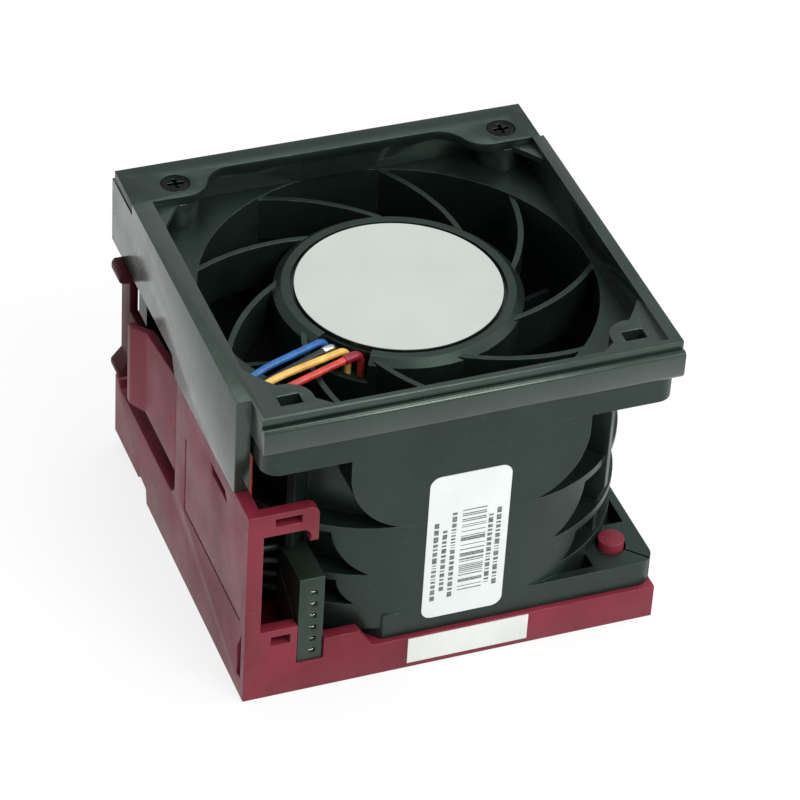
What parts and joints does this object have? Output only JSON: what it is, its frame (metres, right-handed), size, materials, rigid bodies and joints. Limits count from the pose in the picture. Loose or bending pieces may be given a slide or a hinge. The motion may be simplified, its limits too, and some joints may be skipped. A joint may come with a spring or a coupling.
{
  "type": "server fan module",
  "caption": "Square axial server fan in a clip-on carrier with a sprung side latch, blind-mate connector and black exhaust bezel.",
  "frame": {"origin": "on the fan's axis, at the underside of the carrier", "axes": "+Z along the fan's axis to the exhaust side, -Y the face with the connector, -X the side with the latch"},
  "size_m": [0.0643, 0.0622, 0.049],
  "materials": {
    "black_plastic": "satin moulded glass-filled plastic",
    "maroon_plastic": "satin moulded plastic",
    "dark_maroon_plastic": "satin moulded plastic",
    "rotor_plastic": "satin moulded plastic",
    "label_grey": "satin foil label",
    "label_white": "printed paper label",
    "zinc_steel": "zinc plated",
    "screw_steel": "black oxide",
    "lamination_steel": "laminated sheet",
    "brass": "turned",
    "ferrite": "bonded magnet",
    "enamel_copper": "enamelled winding",
    "board_green": "solder mask",
    "chip_black": "moulded package",
    "contact_gold": "gold flash",
    "connector_plastic": "satin moulded plastic",
    "insulator_white": "moulded plastic",
    "wire_blue": "wire jacket",
    "wire_black": "wire jacket",
    "wire_yellow": "wire jacket",
    "wire_red": "wire jacket"
  },
  "bodies": {
    "module": {"fan_housing": "black_plastic", "bearing_sleeve": "brass", "lower_bearing": "zinc_steel", "upper_bearing": "zinc_steel", "stator_core": "lamination_steel", "lower_insulator": "insulator_white", "upper_insulator": "insulator_white", "stator_coils": "enamel_copper", "circuit_board": "board_green", "board_components": "chip_black", "top_bezel": "black_plastic", "retainer_bar": "black_plastic", "bar_screws": "screw_steel", "carrier": "maroon_plastic", "connector_housing": "connector_plastic", "connector_contacts": "contact_gold", "side_label": "label_white", "base_label": "label_white", "hub_label": "label_grey", "blue_wire": "wire_blue", "black_wire": "wire_black", "yellow_wire": "wire_yellow", "red_wire": "wire_red"},
    "rotor": {"impeller": "rotor_plastic", "rotor_yoke": "zinc_steel", "magnet_ring": "ferrite", "rotor_shaft": "zinc_steel", "retaining_clip": "zinc_steel", "preload_spring": "zinc_steel"},
    "latch": {"latch_lever": "maroon_plastic", "latch_grip": "dark_maroon_plastic"}
  },
  "joints": [
    {"name": "rotor_spin", "type": "hinge", "parent": "module", "child": "rotor", "pos_m": [0, 0, 0.02], "axis": [0, 0, 1], "continuous": true},
    {"name": "latch_press", "type": "hinge", "parent": "module", "child": "latch", "pos_m": [-0.03165, 0.001, 0.025], "axis": [0, 0, -1], "range_deg": [0, 2.8], "stiffness_Nm_per_rad": 0.8}
  ]
}
